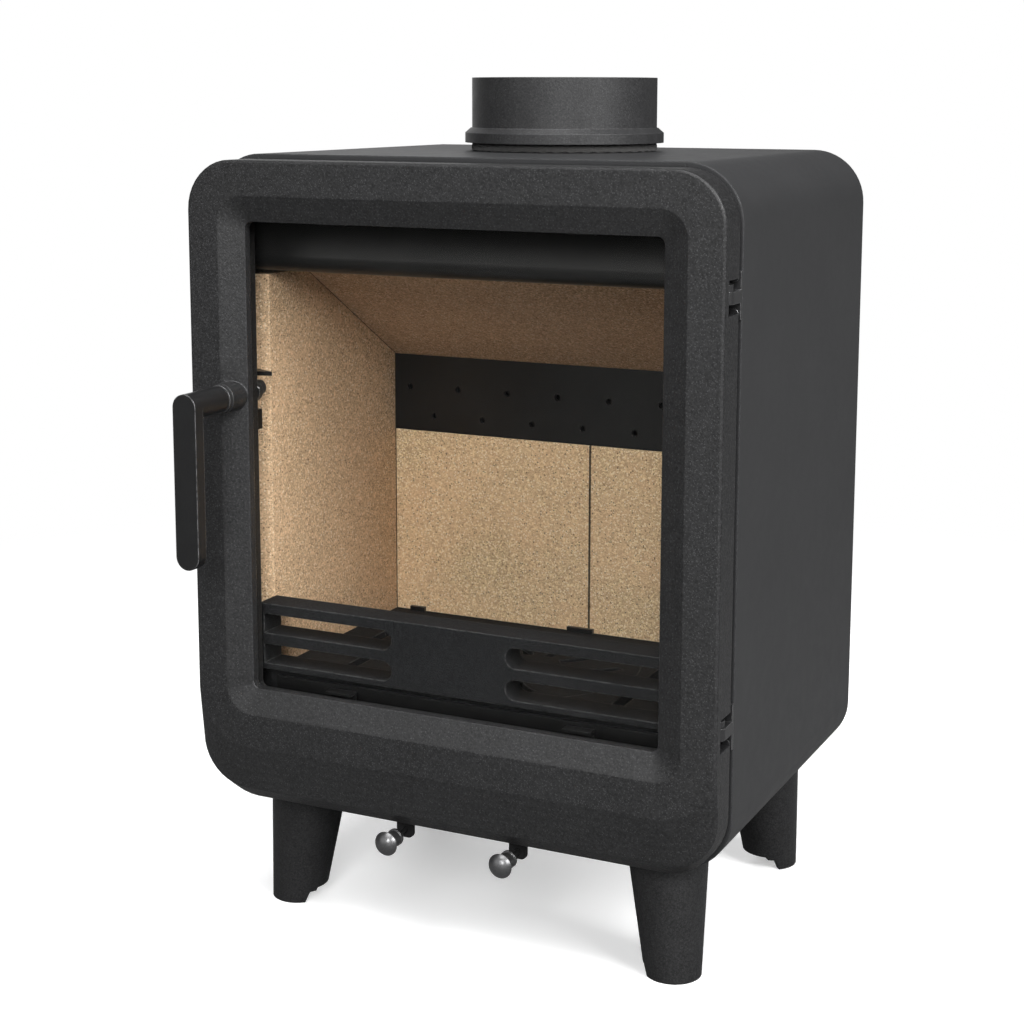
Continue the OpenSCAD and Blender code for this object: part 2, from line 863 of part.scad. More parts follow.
module ash_pan() {
    sheet = 1.5;
    front_t = 3;
    front_y = frame_y1 + 1;
    front_hw = mouth_hw - mouth_r;
    tray_y0 = front_y + front_t;
    tray_y1 = rear_brick_y0 - pan_back;
    tray_z1 = bed_z - bed_t - pan_drop;
    front_z1 = bed_z - 1;
    color("#262627")
        union() {
            block([-front_hw, front_y, ash_z], [front_hw, tray_y0, front_z1]);
            difference() {
                block([-pan_hw, tray_y0, ash_z], [pan_hw, tray_y1, tray_z1]);
                block(
                    [-pan_hw + sheet, tray_y0 + sheet, ash_z + sheet],
                    [pan_hw - sheet, tray_y1 - sheet, tray_z1 + over]
                );
            }
        }
}

// ---- Legs ----

module leg(side, end) {
    slant = sqrt(leg_lean_x * leg_lean_x + leg_lean_y * leg_lean_y);
    tilt = atan(slant / leg_h);
    run = leg_h / cos(tilt);
    spare = 12;
    grow = (leg_r_top - leg_r_foot) / run;
    cap_t = 12;
    past_flat = max(0, leg_r_top + casing_r - leg_inset);
    corner_rise = casing_r - sqrt(casing_r * casing_r - past_flat * past_flat);
    color("#343536")
        difference() {
            at_leg(side, end)
                difference() {
                    translate([0, 0, leg_h])
                        rotate([0, -tilt, 0])
                            translate([0, 0, -run - spare])
                                difference() {
                                    cylinder(
                                        h = run + 2 * spare,
                                        r1 = leg_r_foot - grow * spare,
                                        r2 = leg_r_top + grow * spare
                                    );
                                    translate([0, 0, -over])
                                        cylinder(
                                            h = run + spare - cap_t + over,
                                            r1 = leg_r_foot - leg_wall - grow * (spare + over),
                                            r2 = leg_r_top - leg_wall - grow * cap_t
                                        );
                                }
                    block([-body_w, -body_w, -leg_h], [body_w, body_w, 0]);
                    block([-body_w, -body_w, leg_h + corner_rise], [body_w, body_w, 2 * leg_h]);
                    rod_z(0, 0, leg_h - cap_t - over, leg_h + spare, leg_bolt_d);
                    foot_notch(slant);
                }
            rounded_slab(body_w / 2, body_z0, body_z1, casing_y0, casing_y1, casing_r, casing_r);
        }
}

// The stepped cut at the inner side of a foot
module foot_notch(slant) {
    reach = 40;
    span = 60;
    translate([slant, span, 0])
        rotate([90, 0, 0])
            linear_extrude(height = 2 * span)
                polygon([
                    [-1.3, -over], [-1.3, 0], [-4, 6], [-5, 7.7], [-9.8, 7.7],
                    [-10.8, 9.9], [-reach, 10.4], [-reach, -over]
                ]);
}

module leg_front_left() {
    leg(-1, -1);
}

module leg_front_right() {
    leg(1, -1);
}

module leg_rear_left() {
    leg(-1, 1);
}

module leg_rear_right() {
    leg(1, 1);
}

module leg_bolts() {
    head_h = 0.66 * leg_bolt_d;
    head_d = 1.88 * leg_bolt_d;
    shank = 1.75 * leg_bolt_d;
    color("#8c8d8f")
        for (side = [-1, 1], end = [-1, 1])
            at_leg(side, end) {
                rod_z(0, 0, body_z0 - shank + casing_t, floor_z, leg_bolt_d - fit);
                translate([0, 0, floor_z])
                    cylinder(h = head_h, d = head_d, $fn = 6);
            }
}

// ---- Hinges and latch ----

bracket_hw = 4.3;
bracket_margin = 4;
bracket_screw_d = 3;

module hinge_bracket(k) {
    z0 = hinge_z[k] + knuckle_lift;
    z1 = z0 + knuckle_h;
    plate_z0 = hinge_z[k] - bracket_margin;
    plate_z1 = hinge_z[k] + notch_h + bracket_margin;
    plate_x0 = body_w / 2 - casing_t - 4;
    color("#3c3d3e")
        difference() {
            union() {
                rod_z(hinge_x, hinge_y, z0, z1, knuckle_d);
                block([hinge_x - 2, hinge_y, z0], [body_w / 2, casing_y0, z1]);
                block([plate_x0, casing_y0 - plate_t, plate_z0], [body_w / 2, casing_y0, plate_z1]);
            }
            rod_z(hinge_x, hinge_y, z0 - over, z1 + over, pin_d + 2 * running);
            for (z = [plate_z0 + 4, plate_z1 - 4])
                rod_y(body_w / 2 - 4, casing_y0 - plate_t - over, casing_y0 + over, z, bracket_screw_d + fit);
        }
}

module hinge_bracket_lower() {
    hinge_bracket(0);
}

module hinge_bracket_upper() {
    hinge_bracket(1);
}

module hinge_screws() {
    plate_y = casing_y0 - plate_t;
    head_t = 0.6;
    color("#77787a")
        for (k = [0, 1], z = [4 - bracket_margin, notch_h + bracket_margin - 4]) {
            rod_y(body_w / 2 - 4, plate_y, casing_y0, hinge_z[k] + z, bracket_screw_d);
            rod_y(body_w / 2 - 4, plate_y - head_t, plate_y, hinge_z[k] + z, 1.8 * bracket_screw_d);
        }
}

module hinge_pins() {
    color("#5a5b5d")
        for (z = hinge_z) {
            head_z = z + knuckle_lift + knuckle_h + 2 * running;
            rod_z(hinge_x, hinge_y, z - pin_reach, z + notch_h + pin_reach, pin_d);
            rod_z(hinge_x, hinge_y, head_z, head_z + pin_head_h, pin_head_d);
        }
}

module latch_keeper() {
    stop_w = 7;
    x0 = -mouth_hw;
    y0 = casing_y0 + 1;
    wedge_z = handle_z + 10;
    color("#29292a") {
        block([x0, y0, handle_z - stop_drop - stop_h], [x0 + stop_w, frame_y1 + 2, handle_z - stop_drop]);
        plan_profile(wedge_z, wedge_z + 3, [
            [x0, y0], [x0 + 2.4 * stop_w, frame_y1 + 0.5], [x0, brick_y0 - fit]
        ]);
    }
}

// ---- Door ----

module door_outline() {
    thin = 0.01;
    hw = body_w / 2;
    knee_z = door_z0 + chin_h;
    belly_z = door_z0 + 0.2 * chin_h;
    belly_back = 0.42 * chin_back;
    belly_r = door_r_bottom - 6;
    near = 0.3 * edge_r;
    hull() {
        corner_posts(hw, door_z0, door_z1, face_y + chin_back, door_t - chin_back, door_r_top, door_r_bottom);
        corner_posts(hw, belly_z, door_z1, face_y + belly_back, thin, door_r_top, belly_r);
        corner_posts(hw, knee_z - edge_r, door_z1, face_y + edge_r, thin, door_r_top, door_r_bottom);
        corner_posts(
            hw - near, knee_z - edge_r + near, door_z1 - near,
            face_y + near, thin, door_r_top - near, door_r_bottom - near
        );
        corner_posts(
            hw - edge_r, knee_z, door_z1 - edge_r,
            face_y, thin, door_r_top - edge_r, door_r_bottom - edge_r
        );
    }
}

module window_bevel() {
    thin = 0.01;
    spread = over * bevel_w / bevel_depth;
    hull() {
        corner_posts(
            bevel_hw + spread, bevel_z0 - spread, bevel_z1 + spread,
            face_y - over, thin, bevel_r + spread, bevel_r + spread
        );
        corner_posts(window_hw, window_z0, window_z1, face_y + bevel_depth, thin, window_r, window_r);
    }
}

module door_frame() {
    notch_y = hinge_y - knuckle_d / 2 - 3.5 * knuckle_gap;
    color("#38393a")
        difference() {
            union() {
                difference() {
                    door_outline();
                    window_bevel();
                    rounded_slab(window_hw, window_z0, window_z1, face_y, door_y1 + over, window_r, window_r);
                    rounded_slab(
                        window_hw + glass_lap, window_z0 - glass_lap, window_z1 + glass_lap,
                        lip_y, door_y1 + over, window_r, window_r
                    );
                }
                rod_y(handle_x, face_y - boss_proud, lip_y, handle_z, boss_d);
            }
            rope_ring(rope_w + 2 * rope_fit, door_y1 - rope_groove, door_y1 + over);
            for (z = hinge_z) {
                block([notch_x, notch_y, z], [body_w / 2 + over, door_y1 + over, z + notch_h]);
                rod_z(hinge_x, hinge_y, z - pin_reach - 1, z + notch_h + pin_reach + 1, pin_d + 2 * running);
            }
            rod_y(handle_x, face_y - boss_proud - over, door_y1 + over, handle_z, spindle_bore);
        }
}

// The ring that the rope seal follows around the door
module rope_ring(w, y0, y1) {
    half = w / 2;
    difference() {
        rounded_slab(rope_hw + half, rope_z0 - half, rope_z1 + half, y0, y1, rope_r + half, rope_r + half);
        rounded_slab(
            rope_hw - half, rope_z0 + half, rope_z1 - half,
            y0 - over, y1 + over, rope_r - half, rope_r - half
        );
    }
}

module door_rope() {
    color("#d9d6cc")
        rope_ring(rope_w, door_y1 - rope_groove + 0.2, casing_y0 - 0.15);
}

// The outline of the glass, between two depths
module glass_slab(y0, y1) {
    lap = glass_lap - glass_play;
    rounded_slab(window_hw + lap, window_z0 - lap, window_z1 + lap, y0, y1, window_r, window_r);
}

module door_glass() {
    color("#9fb0b4", 0.25)
        glass_slab(glass_y0, glass_y1);
}

module glass_gasket() {
    color("#1d1d1d")
        difference() {
            glass_slab(lip_y, glass_y0);
            rounded_slab(
                window_hw + glass_play, window_z0 - glass_play, window_z1 + glass_play,
                lip_y - over, glass_y0 + over, window_r, window_r
            );
        }
}

clip_t = 1.8;
clip_w = 20;
clip_x = 90;
clip_screw_d = 4;
clip_land = 9;

// The place of each glass clip, with +Z pointing away from the window
module at_clips() {
    for (sx = [-1, 1]) {
        translate([sx * clip_x, 0, window_z1 + glass_lap])
            children();
        translate([sx * clip_x, 0, window_z0 - glass_lap])
            mirror([0, 0, 1])
                children();
    }
}

module glass_clips() {
    toe = 5.5;
    color("#6a6b6d")
        at_clips()
            difference() {
                union() {
                    block([-clip_w / 2, door_y1, -toe], [clip_w / 2, door_y1 + clip_t, clip_land]);
                    block([-clip_w / 2, glass_y1, -toe], [clip_w / 2, door_y1 + clip_t, -toe + clip_t]);
                }
                rod_y(0, door_y1 - over, door_y1 + clip_t + over, clip_land / 2, clip_screw_d + fit);
            }
}

module glass_screws() {
    head_t = 1.8;
    color("#8f9092")
        at_clips() {
            rod_y(0, door_y1, door_y1 + clip_t, clip_land / 2, clip_screw_d);
            rod_y(0, door_y1 + clip_t, door_y1 + clip_t + head_t, clip_land / 2, 1.8 * clip_screw_d);
        }
}

module handle_washer() {
    y1 = face_y - boss_proud;
    y0 = y1 - washer_t;
    color("#6b6c6e")
        difference() {
            rod_y(handle_x, y0, y1, handle_z, washer_d);
            rod_y(handle_x, y0 - over, y1 + over, handle_z, spindle_bore);
        }
}

// ---- Handle ----

module handle_grip() {
    top_z = handle_z + grip_w / 2;
    color("#1c1c1d")
        difference() {
            union() {
                rod_y(handle_x, grip_y0, stem_y1, handle_z, grip_w);
                rod_y(handle_x, grip_y0, grip_y0 + grip_t, top_z - grip_len + grip_w / 2, grip_w);
                block(
                    [handle_x - grip_w / 2, grip_y0, top_z - grip_len + grip_w / 2],
                    [handle_x + grip_w / 2, grip_y0 + grip_t, handle_z]
                );
            }
            rod_y(handle_x, grip_y0 + grip_t + spindle_end, stem_y1 + over, handle_z, spindle_bore);
        }
}

cam_t = 4.5;
cam_d = 15;
roller_d = 11;
cam_y0 = door_y1 + 1;
roller_y1 = cam_y0 + cam_t + 7;
roller_off = 1.5;

module handle_spindle() {
    color("#808183")
        rod_y(handle_x, grip_y0 + grip_t + spindle_end + fit, cam_y0 + cam_t, handle_z, spindle_d);
}

module latch_cam() {
    color("#3a3b3c")
        difference() {
            rod_y(handle_x, cam_y0, cam_y0 + cam_t, handle_z, cam_d);
            rod_y(handle_x, cam_y0 - over, cam_y0 + cam_t + over, handle_z, spindle_bore);
        }
}

module latch_roller() {
    color("#2b2b2c")
        rod_y(handle_x, cam_y0 + cam_t, roller_y1, handle_z + roller_off, roller_d);
}

// ---- Air slides ----

// One slide: tab, strap and shutter, bent from one sheet
module air_slide(side) {
    tab_r = 4;
    tab_z0 = knob_z - tab_r - 1;
    x0 = side * slide_x - strap_w / 2;
    x1 = side * slide_x + strap_w / 2;
    color("#2a2b2c")
        difference() {
            union() {
                block([x0, tab_y0, slide_z0], [x1, shutter_y0 + over, slide_z1]);
                block([x0, tab_y0, tab_z0 + tab_r], [x1, tab_y0 + strap_t, slide_z1]);
                block([x0 + tab_r, tab_y0, tab_z0], [x1 - tab_r, tab_y0 + strap_t, slide_z0]);
                for (x = [x0 + tab_r, x1 - tab_r])
                    rod_y(x, tab_y0, tab_y0 + strap_t, tab_z0 + tab_r, 2 * tab_r);
                block(
                    [side * slide_x - shutter_w / 2, shutter_y0, slide_z0],
                    [side * slide_x + shutter_w / 2, shutter_y0 + shutter_d, slide_z1]
                );
            }
            rod_y(side * slide_x, tab_y0 - over, tab_y0 + strap_t + over, knob_z, stud_d + 2 * running);
        }
}

// A mushroom knob with its neck, ring, stud and nut, turned about an axis that points forwards
module air_knob(side) {
    dome_h = 5;
    dome_r = knob_d / 2;
    ball_r = (dome_r * dome_r + dome_h * dome_h) / (2 * dome_h);
    neck_r = 0.62 * dome_r;
    ring_r = 0.71 * dome_r;
    cone_end = -2.2;
    ring_end = -13.7;
    neck_end = ring_end + 2;
    nut_t = 2.4;
    rim_y = knob_y0 + dome_h;
    stud_end = rim_y - (tab_y0 + strap_t + nut_t);
    color("#9a9b9d")
        translate([side * slide_x, rim_y, knob_z])
            rotate([90, 0, 0]) {
                rotate_extrude() {
                    intersection() {
                        translate([0, dome_h - ball_r])
                            circle(r = ball_r);
                        square([dome_r + over, dome_h + over]);
                    }
                    polygon([
                        [0, over], [dome_r * 0.8, over], [dome_r * 0.8, 0], [dome_r, 0],
                        [neck_r, cone_end], [neck_r, neck_end], [ring_r, neck_end],
                        [ring_r, ring_end], [stud_d / 2, ring_end], [stud_d / 2, stud_end],
                        [0, stud_end]
                    ]);
                }
                translate([0, 0, stud_end])
                    cylinder(h = nut_t, d = 1.9 * stud_d, $fn = 6);
            }
}

module slide_left() {
    air_slide(-1);
}

module slide_right() {
    air_slide(1);
}

module knob_left() {
    air_knob(-1);
}

module knob_right() {
    air_knob(1);
}

module slide_guides() {
    rail_w = 5;
    rail_lip = 4;
    bridge_d = 8;
    bridge_y = casing_y0 + bridge_d;
    low = slide_z0 - fit - guide_lip;
    y0 = shutter_y0 - slide_travel;
    y1 = shutter_y0 + shutter_d + 4;
    color("#2a2b2c")
        for (side = [-1, 1], hand = [-1, 1]) {
            x = side * slide_x;
            rail_x = x + shutter_w / 2 + fit;
            post_x = x + strap_w / 2 + fit;
            mirror_about(x, hand) {
                block([rail_x, y0, low], [rail_x + rail_w, y1, body_z0]);
                block([rail_x - rail_lip, y0, low], [rail_x + over, y1, slide_z0 - fit]);
                block([post_x, bridge_y, low], [post_x + rail_w, bridge_y + bridge_d, body_z0]);
                block([x, bridge_y, low], [post_x + over, bridge_y + bridge_d, slide_z0 - fit]);
            }
        }
}

// Mirrors the children about a plane across X, when hand is negative
module mirror_about(x, hand) {
    translate([x, 0, 0])
        mirror([hand < 0 ? 1 : 0, 0, 0])
            translate([-x, 0, 0])
                children();
}

casing();
casing_roof();
front_frame();
rear_panel();
rear_shield();
shield_screws();
flue_collar();
collar_seal();
collar_ring();
brick_left();
brick_right();
brick_rear_left();
brick_rear_right();
baffle();
air_manifold();
rear_air_duct();
air_deflector();
log_fence();
grate_bed();
bed_sill();
grate();
grate_studs();
bed_rails();
brick_clips();
ash_floor();
ash_pan();
leg_front_left();
leg_front_right();
leg_rear_left();
leg_rear_right();
leg_bolts();
hinge_bracket_lower();
hinge_bracket_upper();
hinge_screws();
latch_keeper();
slide_guides();
door_frame();
door_glass();
glass_gasket();
glass_clips();
glass_screws();
door_rope();
hinge_pins();
handle_washer();
handle_grip();
handle_spindle();
latch_cam();
latch_roller();
slide_left();
knob_left();
slide_right();
knob_right();
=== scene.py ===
import bmesh
import bpy
import json
import math
import numpy as np
from mathutils import Matrix, Vector


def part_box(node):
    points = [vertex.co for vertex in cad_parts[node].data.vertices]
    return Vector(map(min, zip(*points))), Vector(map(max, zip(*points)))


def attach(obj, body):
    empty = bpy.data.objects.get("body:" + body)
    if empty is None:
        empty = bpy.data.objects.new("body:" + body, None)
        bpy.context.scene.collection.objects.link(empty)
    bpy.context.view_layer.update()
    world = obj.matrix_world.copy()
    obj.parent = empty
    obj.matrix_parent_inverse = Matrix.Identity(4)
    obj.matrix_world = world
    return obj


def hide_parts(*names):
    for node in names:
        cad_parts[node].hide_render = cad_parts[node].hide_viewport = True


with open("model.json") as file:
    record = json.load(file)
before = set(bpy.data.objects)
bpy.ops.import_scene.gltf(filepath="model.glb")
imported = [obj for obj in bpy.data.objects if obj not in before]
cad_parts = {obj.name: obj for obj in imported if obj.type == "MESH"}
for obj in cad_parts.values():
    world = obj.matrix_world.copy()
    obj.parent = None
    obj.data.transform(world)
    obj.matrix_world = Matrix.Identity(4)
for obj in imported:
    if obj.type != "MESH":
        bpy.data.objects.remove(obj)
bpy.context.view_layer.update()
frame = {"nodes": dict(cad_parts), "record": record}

scene = bpy.context.scene
scene.view_settings.view_transform = "Standard"
MM = 0.001
WHITE = (1.0, 1.0, 1.0)

# The photograph's camera, solved from the stove's own edges
CAMERA_AZIMUTH, CAMERA_PITCH, CAMERA_ROLL = (math.radians(a) for a in (25.709, 8.959, 0.096))
CAMERA_PLACE = (0.56742, -1.19418, 0.58155)
SENSOR_MM, FOCAL_PIXELS, FRAME_PIXELS = 36.0, 1900.08, 1024
FRAME_SHIFT = -0.118


# ---------------------------------------------------------------- camera
def make_camera():
    data = bpy.data.cameras.new("camera")
    cam = bpy.data.objects.new("camera", data)
    scene.collection.objects.link(cam)
    az, pitch, roll = CAMERA_AZIMUTH, CAMERA_PITCH, CAMERA_ROLL
    data.sensor_fit = "AUTO"
    data.sensor_width = SENSOR_MM
    data.lens = SENSOR_MM * FOCAL_PIXELS / FRAME_PIXELS
    data.shift_y = FRAME_SHIFT
    data.clip_start, data.clip_end = 0.05, 60
    ahead = Vector((-math.sin(az) * math.cos(pitch), math.cos(az) * math.cos(pitch), -math.sin(pitch)))
    level = Vector((math.cos(az), math.sin(az), 0))
    above = level.cross(ahead)
    right = level * math.cos(roll) + above * math.sin(roll)
    up = above * math.cos(roll) - level * math.sin(roll)
    cam.matrix_world = Matrix((
        (right.x, up.x, -ahead.x, CAMERA_PLACE[0]),
        (right.y, up.y, -ahead.y, CAMERA_PLACE[1]),
        (right.z, up.z, -ahead.z, CAMERA_PLACE[2]),
        (0, 0, 0, 1),
    ))
    scene.camera = cam


make_camera()


# ---------------------------------------------------------------- studio
def area_light(name, place, target, w, h, power, gloss=True):
    """A rectangular white lamp, w by h metres, turned to the target; gloss is whether metal shows it."""
    data = bpy.data.lights.new(name, "AREA")
    data.shape = "RECTANGLE"
    data.size, data.size_y = w, h
    data.energy = power
    lamp = bpy.data.objects.new(name, data)
    scene.collection.objects.link(lamp)
    lamp.location = place
    lamp.rotation_mode = "QUATERNION"
    lamp.rotation_quaternion = (Vector(target) - Vector(place)).to_track_quat("-Z", "Y")
    lamp.visible_glossy = gloss


class Tree:
    """A short way to write node trees: each call adds a node and gives its output.

    Sockets are named by keyword, with _ for a space, or numbered i0, i1 and so on.
    """

    def __init__(self, tree, clear=True):
        self.t = tree
        if clear:
            tree.nodes.clear()

    def n(self, kind, props=None, **links):
        node = self.t.nodes.new(kind)
        for k, v in (props or {}).items():
            setattr(node, k, v)
        for k, v in links.items():
            self.put(node, k, v)
        return node

    def put(self, node, key, value):
        if key.startswith("i") and key[1:].isdigit():
            sock = node.inputs[int(key[1:])]
        else:
            sock = node.inputs[key.replace("_", " ")]
        if isinstance(value, bpy.types.NodeSocket):
            self.t.links.new(value, sock)
        elif isinstance(value, (tuple, list)) and sock.type == "RGBA" and len(value) == 3:
            sock.default_value = (*value, 1)
        else:
            sock.default_value = value

    def math(self, op, a, b=None, c=None, clamp=False):
        node = self.n("ShaderNodeMath", {"operation": op, "use_clamp": clamp}, i0=a)
        if b is not None:
            self.put(node, "i1", b)
        if c is not None:
            self.put(node, "i2", c)
        return node.outputs[0]

    def vec(self, op, a, b=None, out=0):
        node = self.n("ShaderNodeVectorMath", {"operation": op}, i0=a)
        if b is not None:
            self.put(node, "i1", b)
        return node.outputs[out]

    def ramp(self, value, lo, hi, to_lo=0.0, to_hi=1.0):
        """A smooth step from to_lo, where value is lo or less, to to_hi, where it is hi or more."""
        node = self.n("ShaderNodeMapRange", {"interpolation_type": "SMOOTHSTEP", "clamp": True}, Value=value)
        self.put(node, "From_Min", lo)
        self.put(node, "From_Max", hi)
        self.put(node, "To_Min", to_lo)
        self.put(node, "To_Max", to_hi)
        return node.outputs[0]

    def mix(self, fac, a, b, blend="MIX"):
        node = self.n("ShaderNodeMix", {"data_type": "RGBA", "blend_type": blend}, i0=fac, i6=a, i7=b)
        return node.outputs[2]

    def noise(self, pos, size_mm, detail=2.0, rough=0.5):
        look = {"Scale": 1.0 / (size_mm * MM), "Detail": detail, "Roughness": rough}
        return self.n("ShaderNodeTexNoise", None, Vector=pos, **look).outputs[0]

    def cells(self, pos, size_mm, feature="F1"):
        return self.n("ShaderNodeTexVoronoi", {"feature": feature}, Vector=pos, Scale=1.0 / (size_mm * MM))

    def channels(self, colour):
        return self.n("ShaderNodeSeparateColor", None, Color=colour).outputs

    def axes(self, vector):
        return self.n("ShaderNodeSeparateXYZ", None, Vector=vector).outputs

    def emit(self, strength):
        return self.n("ShaderNodeEmission", None, Color=WHITE, Strength=strength).outputs[0]

    def blend(self, fac, a, b):
        return self.n("ShaderNodeMixShader", None, i0=fac, i1=a, i2=b).outputs[0]

    def add(self, a, b):
        return self.n("ShaderNodeAddShader", None, i0=a, i1=b).outputs[0]

    def end(self, surface, kind="ShaderNodeOutputMaterial"):
        self.n(kind, None, Surface=surface)


def new_material(name):
    mat = bpy.data.materials.new(name)
    mat.use_nodes = True
    return mat, Tree(mat.node_tree)


# Directions from which the room's soft boxes shine into glossy surfaces, where each starts and is full,
# and its strength outside and inside
SIDE_BOX = ((0.78, -0.45, 0.43), 0.35, 0.95, 0.08, 1.0)
REAR_BOX = ((-0.7, 0.7, 0.1), 0.8, 0.98, 0.0, 1.0)
FRONT_BOX = ((-0.42, -0.80, 0.42), 0.80, 1.0, 0.0, 1.5)
ROOM_TINT, ROOM_STRENGTH = (0.97, 0.98, 1.0), 0.11

FLOOR_REACH = 14.0
# The floor turns from lit to plain white between these distances from the stove
FLOOR_NEAR, FLOOR_FAR = 0.45, 1.3
FLOOR_PALE = ((0.80, 0.80, 0.80), (0.84, 0.84, 0.84))
FLOOR_BOUNCE, FLOOR_GLOSS = (0.16, 0.16, 0.16), (0.22, 0.22, 0.22)
FLOOR_LIFT = 0.42
# A glowing patch of floor in front of the stove, shown in glossy surfaces alone: a painted pool of light for
# reflections
POOL_PLACE, POOL_INNER, POOL_OUTER, POOL_STRENGTH = (0.55, -1.45, 0.0), 0.3, 1.15, 2.1


def make_world():
    """A white background over weak, even light; glossy surfaces see soft boxes in it."""
    world = bpy.data.worlds.new("studio")
    scene.world = world
    world.use_nodes = True
    t = Tree(world.node_tree)
    path = t.n("ShaderNodeLightPath").outputs
    direct = t.math("MAXIMUM", path["Is Camera Ray"], path["Is Transmission Ray"])
    seen = t.math("MAXIMUM", direct, path["Is Glossy Ray"])
    way = t.n("ShaderNodeTexCoord").outputs["Generated"]
    side, rear, front = (
        t.ramp(t.vec("DOT_PRODUCT", way, centre, out=1), start, full, low, high)
        for centre, start, full, low, high in (SIDE_BOX, REAR_BOX, FRONT_BOX)
    )
    shade = t.math("MAXIMUM", t.math("MAXIMUM", side, t.math("MAXIMUM", rear, front)), direct)
    soft = t.n("ShaderNodeBackground", None, Color=ROOM_TINT, Strength=ROOM_STRENGTH)
    white = t.n("ShaderNodeBackground", None, Color=WHITE, Strength=shade)
    t.end(t.blend(seen, soft.outputs[0], white.outputs[0]), "ShaderNodeOutputWorld")


def make_floor():
    """A pale floor that keeps the stove's shadow and turns plain white away from it."""
    mesh = bpy.data.meshes.new("floor")
    s = FLOOR_REACH
    mesh.from_pydata([(-s, -s, 0), (s, -s, 0), (s, s, 0), (-s, s, 0)], [], [(0, 1, 2, 3)])
    floor = bpy.data.objects.new("floor", mesh)
    scene.collection.objects.link(floor)
    mat, t = new_material("pale_floor")
    pos = t.n("ShaderNodeNewGeometry").outputs["Position"]
    flat = t.vec("MULTIPLY", pos, (1.0, 1.0, 0.0))
    far = t.ramp(t.vec("LENGTH", flat, out=1), FLOOR_NEAR, FLOOR_FAR)
    path = t.n("ShaderNodeLightPath").outputs
    camera, glossy = path["Is Camera Ray"], path["Is Glossy Ray"]
    seen = t.math("MAXIMUM", camera, glossy)
    pale = t.mix(t.noise(pos, 3.0, 3.0), *FLOOR_PALE)
    tint = t.mix(seen, FLOOR_BOUNCE, t.mix(camera, FLOOR_GLOSS, pale))
    diffuse = t.n("ShaderNodeBsdfDiffuse", None, Color=tint).outputs[0]
    lit = t.add(diffuse, t.emit(t.math("MULTIPLY", camera, FLOOR_LIFT)))
    # painted pool of light: the floor glows here for glossy rays alone
    off = t.vec("LENGTH", t.vec("SUBTRACT", flat, POOL_PLACE), out=1)
    pool = t.emit(t.math("MULTIPLY", t.ramp(off, POOL_INNER, POOL_OUTER, POOL_STRENGTH, 0.0), glossy))
    white = t.emit(t.ramp(camera, 0.0, 1.0, 0.25, 1.0))
    shown = t.add(t.blend(far, lit, white), pool)
    t.end(t.blend(seen, diffuse, shown))
    mesh.materials.append(mat)


make_world()
make_floor()
area_light("key", (2.3, -0.9, 1.7), (0, -0.05, 0.3), 1.3, 1.3, 90)
area_light("top", (0.1, -0.7, 2.5), (0, -0.05, 0.35), 1.6, 1.3, 48)
area_light("front", (0.75, -2.5, 1.55), (0, 0.0, 0.3), 0.9, 0.9, 50)
area_light("back", (-1.4, 2.4, 1.6), (0, 0.1, 0.3), 1.6, 1.6, 45, gloss=False)


# ---------------------------------------------------------------- materials
ROOF_HALF_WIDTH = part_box("casing_roof")[1].x
CASING_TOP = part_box("casing")[1].z
REAR_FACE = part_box("brick_rear_left")[0].y
REAR_JOINT = (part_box("brick_rear_left")[1].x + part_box("brick_rear_right")[0].x) / 2
BAFFLE_HALF_WIDTH = abs(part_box("brick_left")[1].x)
SEAM_BAND = 4 * MM
JOINT_COLOUR, JOINT_NEAR, JOINT_FAR = (0.012, 0.009, 0.007), 0.5 * MM, 1.2 * MM


def times(colour, factor):
    return tuple(min(1.0, c * factor) for c in colour)


def smooth_edge(t, radius_mm, seam=False):
    """The rounded normal along sharp edges, and a mask that is 1 on the outward ones.

    With seam, the line where the roof plate meets the casing's bends is left flat.
    """
    bevel = t.n("ShaderNodeBevel", {"samples": 6}, Radius=radius_mm * MM).outputs[0]
    geo = t.n("ShaderNodeNewGeometry").outputs
    if seam:
        x, _, z = t.axes(geo["Position"])
        off = t.math("ABSOLUTE", t.math("SUBTRACT", t.math("ABSOLUTE", x), ROOF_HALF_WIDTH))
        on_top = t.math("GREATER_THAN", z, CASING_TOP - 2 * MM)
        keep = t.math("SUBTRACT", 1.0, t.math("MULTIPLY", t.math("LESS_THAN", off, SEAM_BAND), on_top))
        scale = t.n("ShaderNodeCombineXYZ", None, X=keep, Y=1.0, Z=1.0).outputs[0]
        bevel = t.vec("NORMALIZE", t.vec("MULTIPLY", bevel, scale))
    turn = t.vec("DOT_PRODUCT", bevel, geo["Normal"], out=1)
    return bevel, t.ramp(t.math("SUBTRACT", 1.0, turn), 0.01, 0.12)


def centred(t, value, amount, base, clamp=False):
    """base, moved by amount times the value's distance from its middle."""
    return t.math("MULTIPLY_ADD", t.math("SUBTRACT", value, 0.5), amount, base, clamp=clamp)


